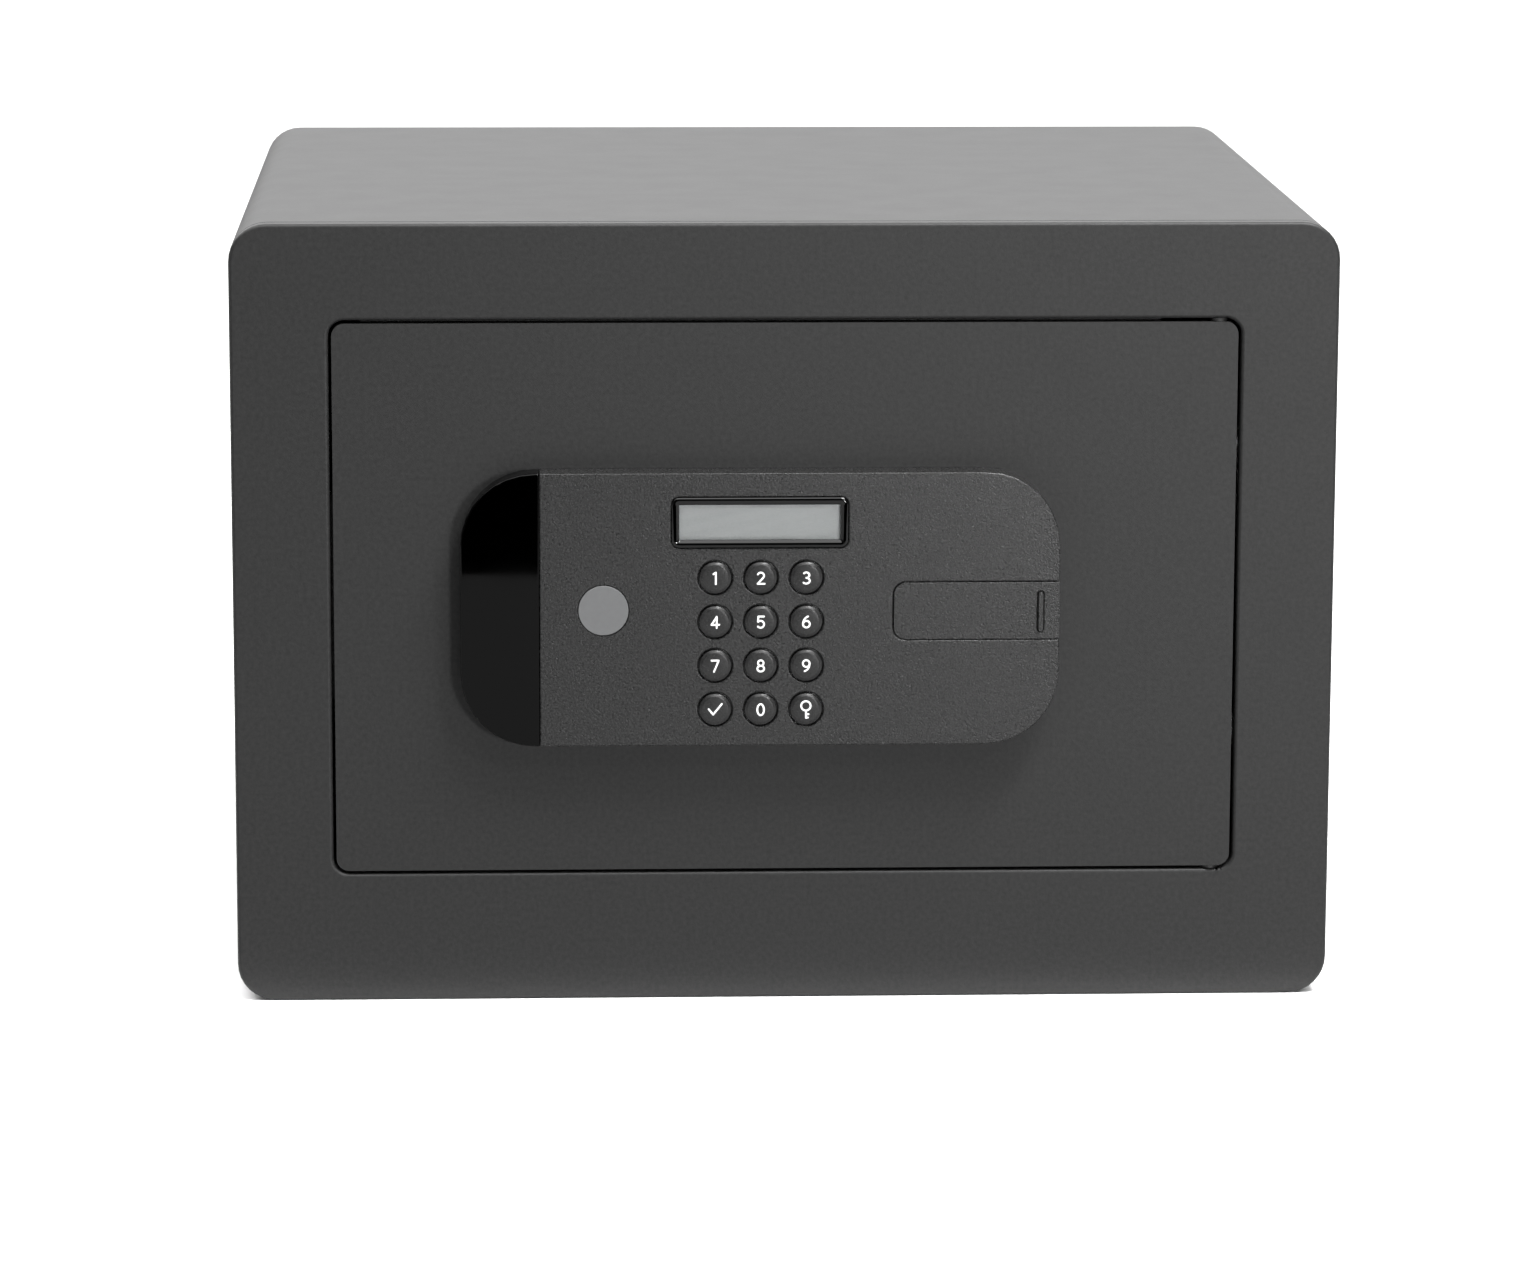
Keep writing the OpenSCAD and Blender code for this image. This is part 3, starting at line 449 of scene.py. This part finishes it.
def cut_grid(bm, step, axes):
    """Cuts every face along a square grid, so that its surface can be uneven."""
    for axis in axes:
        values = [v.co[axis] for v in bm.verts]
        place = math.ceil(min(values) / step) * step
        while place < max(values):
            normal = Vector([1.0 if i == axis else 0.0 for i in range(3)])
            geometry = bm.verts[:] + bm.edges[:] + bm.faces[:]
            bmesh.ops.bisect_plane(bm, geom=geometry, plane_co=normal * place, plane_no=normal)
            place += step


# Key caps: slightly domed, with a sloping rim, and a legend let into each one

FLANGE_REACH = 1.3 * MM
FLANGE_T = 0.4 * MM
CAP_RIM = 1.0 * MM
CAP_DOME = 0.12 * MM
SHOULDER_R = 0.5 * MM
CORNER_R = 0.25 * MM
FACE_SLOPE = 3
RIM_SLOPE = 32
LEGEND_PROUD = 0.03 * MM
LEGEND_SUNK = 0.15 * MM
LEGEND_STEP = 0.11
LEGEND_REACH = 32


def dome_depth(radius, rim):
    return CAP_DOME * (radius / rim) ** 2


def turned_edge(radius, start, stop, steps=6):
    """Points (outward, depth) of a rounded edge that turns between two slopes in degrees."""
    first = math.radians(start)
    points = []
    for i in range(1, steps + 1):
        a = math.radians(start + (stop - start) * i / steps)
        points.append((radius * (math.sin(a) - math.sin(first)), radius * (math.cos(first) - math.cos(a))))
    return points


def make_cap(key, material):
    low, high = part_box("key_" + key)
    flange_r = (high.x - low.x) / 2
    cap_r = flange_r - FLANGE_REACH
    rim = cap_r - CAP_RIM
    flange_top = high.y - low.y - FLANGE_T
    face = [(rim * i / 6, dome_depth(rim * i / 6, rim)) for i in range(7)]
    shoulder = [(rim + r, CAP_DOME + d) for r, d in turned_edge(SHOULDER_R, FACE_SLOPE, RIM_SLOPE)]
    corner = turned_edge(CORNER_R, RIM_SLOPE, 90)
    slope_r = cap_r - corner[-1][0]
    slope_y = shoulder[-1][1] + (slope_r - shoulder[-1][0]) * math.tan(math.radians(RIM_SLOPE))
    edge = [(slope_r, slope_y)] + [(slope_r + r, slope_y + d) for r, d in corner]
    skirt = [(cap_r, flange_top), (flange_r, flange_top), (flange_r, high.y - low.y), (0, high.y - low.y)]
    centre = Vector(((low.x + high.x) / 2, low.y, (low.z + high.z) / 2))
    mesh = finish_mesh(lathe(face + shoulder + edge + skirt, centre), "cap_" + key, 40.0)
    add_piece("cap_" + key, mesh, material, "key_" + key + "_cap", "key_plastic", "key_" + key)
    return centre, rim


def arc(cx, cz, rx, rz, start, stop, steps=24):
    turns = [math.radians(start + (stop - start) * i / steps) for i in range(steps + 1)]
    return [(cx + rx * math.cos(a), cz + rz * math.sin(a)) for a in turns]


SIX = [arc(0.0, -0.72, 1.07, 1.08, 0, 360), arc(1.0, -0.72, 2.07, 2.55, 104, 180)]

# Centre lines of the legends in millimetres, as strokes about the middle of the cap
LEGENDS = {
    "1": [[(-0.6, 1.35), (0.15, 1.85), (0.15, -1.85)]],
    "2": [arc(-0.05, 0.8, 1.0, 1.0, 155, -38) + [(-1.05, -1.8), (1.15, -1.8)]],
    "3": [arc(-0.1, 0.92, 0.95, 0.88, 140, -90), arc(-0.1, -0.88, 1.1, 0.92, 90, -140)],
    "4": [[(0.45, -1.8), (0.45, 1.8), (-1.2, -0.8), (1.25, -0.8)]],
    "5": [[(0.95, 1.8), (-0.8, 1.8), (-0.9, 0.22)] + arc(-0.1, -0.68, 1.1, 1.12, 135, -140)],
    "6": SIX,
    "7": [[(-1.15, 1.8), (1.1, 1.8), (-0.4, -1.8)]],
    "8": [arc(0.0, 0.93, 0.88, 0.87, 0, 360), arc(0.0, -0.87, 1.07, 0.93, 0, 360)],
    "9": [[(-x, -z) for x, z in stroke] for stroke in SIX],
    "tick": [[(-2.05, 0.25), (-0.65, -1.5), (2.1, 1.9)]],
    "0": [arc(0.0, 0.0, 1.05, 1.8, 0, 360)],
    "lock": [arc(-0.05, 1.15, 1.5, 1.5, 0, 360), [(0.0, -0.4), (0.0, -2.75)], [(0.0, -1.55), (0.8, -1.55)],
             [(0.0, -2.65), (0.6, -2.65)]],
}
STROKE_HALF = 0.29


def distance_to_strokes(x, z, strokes):
    nearest = math.inf
    for stroke in strokes:
        for (ax, az), (bx, bz) in zip(stroke, stroke[1:]):
            dx, dz = bx - ax, bz - az
            along = ((x - ax) * dx + (z - az) * dz) / (dx * dx + dz * dz)
            along = min(1.0, max(0.0, along))
            nearest = min(nearest, math.hypot(x - ax - along * dx, z - az - along * dz))
    return nearest


def legend_faces(strokes):
    """Fills the inside of the strokes with cells of a grid, cut along their outline."""
    grid = range(-LEGEND_REACH, LEGEND_REACH + 1)
    inside = {(i, j): STROKE_HALF - distance_to_strokes(i * LEGEND_STEP, j * LEGEND_STEP, strokes)
              for i in grid for j in grid}
    faces = []
    for i in grid[:-1]:
        for j in grid[:-1]:
            corners = [(i, j), (i + 1, j), (i + 1, j + 1), (i, j + 1)]
            outline = []
            for a, b in zip(corners, corners[1:] + corners[:1]):
                if inside[a] > 0:
                    outline.append((a[0], a[1]))
                if (inside[a] > 0) != (inside[b] > 0):
                    share = inside[a] / (inside[a] - inside[b])
                    outline.append((a[0] + share * (b[0] - a[0]), a[1] + share * (b[1] - a[1])))
            if len(outline) > 2:
                faces.append([(round(x, 4), round(z, 4)) for x, z in outline])
    return faces


def make_legend(key, centre, rim, material):
    bm = bmesh.new()
    verts = {}
    for outline in legend_faces(LEGENDS[key]):
        corners = []
        for x, z in dict.fromkeys(outline):
            if (x, z) not in verts:
                dx, dz = x * LEGEND_STEP * MM, z * LEGEND_STEP * MM
                depth = dome_depth(math.hypot(dx, dz), rim) - LEGEND_PROUD
                verts[(x, z)] = bm.verts.new((centre.x + dx, centre.y + depth, centre.z + dz))
            corners.append(verts[(x, z)])
        if len(corners) > 2:
            bm.faces.new(corners)
    bmesh.ops.remove_doubles(bm, verts=bm.verts, dist=WELD_REACH)
    back = bmesh.ops.extrude_face_region(bm, geom=bm.faces[:])["geom"]
    for vert in (item for item in back if isinstance(item, bmesh.types.BMVert)):
        vert.co.y += LEGEND_SUNK
    mesh = finish_mesh(bm, "legend_" + key)
    add_piece("legend_" + key, mesh, material, "key_" + key + "_cap", "white_acetal")


# Display bezel: a gloss bead with a slope down to the window

BEZEL_CORNER = 2.5 * MM
BEZEL_WIDTH = 2.5 * MM
BEZEL_BEAD = 0.9 * MM
SLOPE_FROM = 0.62 * BEZEL_WIDTH
SLOPE_TO = 0.72 * BEZEL_WIDTH
SLOPE_DROP = 0.12 * MM
WINDOW_DROP = 0.75 * MM


def make_bezel(material):
    low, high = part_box("display_bezel")
    window_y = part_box("display_window")[0].y
    turns = [math.radians(a) for a in range(0, 91, 15)]
    outer = [(BEZEL_BEAD * (1 - math.cos(a)), low.y + BEZEL_BEAD * (1 - math.sin(a))) for a in turns]
    inner = [(SLOPE_FROM, low.y), (SLOPE_TO, low.y + SLOPE_DROP)]
    wall = [(BEZEL_WIDTH, low.y + WINDOW_DROP), (BEZEL_WIDTH, window_y)]
    back = [(BEZEL_WIDTH, high.y), (0, high.y)]
    box = ((low.x, low.z), (high.x, high.z))
    bm = swept_frame(box, outer + inner + wall + back, BEZEL_CORNER)
    add_piece("bezel", finish_mesh(bm, "bezel", 40.0), material, "door", "gloss_black", "display_bezel")


# Floor mat: needle felt, cut with a rounded outline and four holes over the anchor holes

MAT_CELL = 9.0 * MM
MAT_LIFT = 0.3 * MM
MAT_WAVES = 40.0
MAT_CORNER = 4.0 * MM
MAT_RIM = 0.8 * MM


def make_mat(material):
    low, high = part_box("floor_mat")
    bm = bmesh.new()
    outlines = [rounded_outline(low.x, high.x, low.y, high.y, MAT_CORNER)]
    anchors = next(m for m in frame["record"]["mounts"] if m["name"] == "base_anchor_holes")["dims"]
    spacing = (anchors["spacing_x_mm"] * MM, anchors["spacing_y_mm"] * MM)
    hole_r = 2 * anchors["hole_r_mm"] * MM
    for sx, sy in ((-1, -1), (-1, 1), (1, -1), (1, 1)):
        outlines.append(arc(sx * spacing[0] / 2, sy * spacing[1] / 2, hole_r, hole_r, 0, 350, 35))
    edges = []
    for outline in outlines:
        verts = [bm.verts.new((x, y, high.z - MAT_LIFT)) for x, y in outline]
        edges += [bm.edges.new((a, b)) for a, b in zip(verts, verts[1:] + verts[:1])]
    bmesh.ops.triangle_fill(bm, edges=edges, use_beauty=True)
    cut_grid(bm, MAT_CELL, (0, 1))
    base = bmesh.ops.extrude_face_region(bm, geom=bm.faces[:])["geom"]
    base_verts = {item for item in base if isinstance(item, bmesh.types.BMVert)}
    for vert in bm.verts:
        if vert in base_verts:
            vert.co.z = low.z
        else:
            vert.co.z += MAT_LIFT * noise.noise(vert.co * MAT_WAVES)
    bmesh.ops.recalc_face_normals(bm, faces=bm.faces)
    rim = [e for e in bm.edges if e.calc_face_angle(0) > 1.0 and not (set(e.verts) & base_verts)]
    bmesh.ops.bevel(bm, geom=rim, offset=MAT_RIM, segments=3, profile=0.5, affect="EDGES",
                    clamp_overlap=True)
    area = sum(f.calc_area() for f in bm.faces if all(v in base_verts for v in f.verts))
    mesh = finish_mesh(bm, "felt_mat", 50.0)
    mat = add_piece("felt_mat", mesh, material, "cabinet", "mat_felt", "floor_mat")


# CAD nodes: one finish each, and edges rounded by so many millimetres where they show

ROUNDED = {"front_frame": 1.2, "cabinet_wrap": 0.4, "fascia": 0.5, "grip_end": 0.6,
           "key_cover": 0.2, "badge_disc": 0.15, "lock_case": 0.4, "inner_cover": 0.4}
FLAT_ANGLE = 0.3
EDGE_ANGLE = 30.0


def round_edges(piece, width, segments=3):
    weld = piece.modifiers.new("weld", "WELD")
    weld.merge_threshold = WELD_REACH
    flat = piece.modifiers.new("flat", "DECIMATE")
    flat.decimate_type = "DISSOLVE"
    flat.angle_limit = math.radians(FLAT_ANGLE)
    bevel = piece.modifiers.new("edges", "BEVEL")
    bevel.width = width
    bevel.segments = segments
    bevel.limit_method = "ANGLE"
    bevel.angle_limit = math.radians(EDGE_ANGLE)
    bevel.use_clamp_overlap = False
    shade = piece.modifiers.new("shading", "WEIGHTED_NORMAL")
    shade.keep_sharp = True
    shade.weight = 100


def dress_nodes(materials):
    slots = {row["node"]: row["material_slot"] for row in frame["record"]["subparts"]}
    for name, piece in nodes.items():
        piece.data.materials.clear()
        piece.data.materials.append(materials[slots[name]])
        piece.data.polygons.foreach_set("use_smooth", [True] * len(piece.data.polygons))
    for name, width in ROUNDED.items():
        round_edges(nodes[name], width * MM)


make_camera()
make_stage()
materials = make_materials()
dress_nodes(materials)
glowing_white = glowing_legend_white()
for key in KEYS:
    cap_centre, cap_rim = make_cap(key, materials["key_plastic"])
    make_legend(key, cap_centre, cap_rim, glowing_white)
make_bezel(gloss_black("bezel_black", 1.45))
make_mat(materials["mat_felt"])
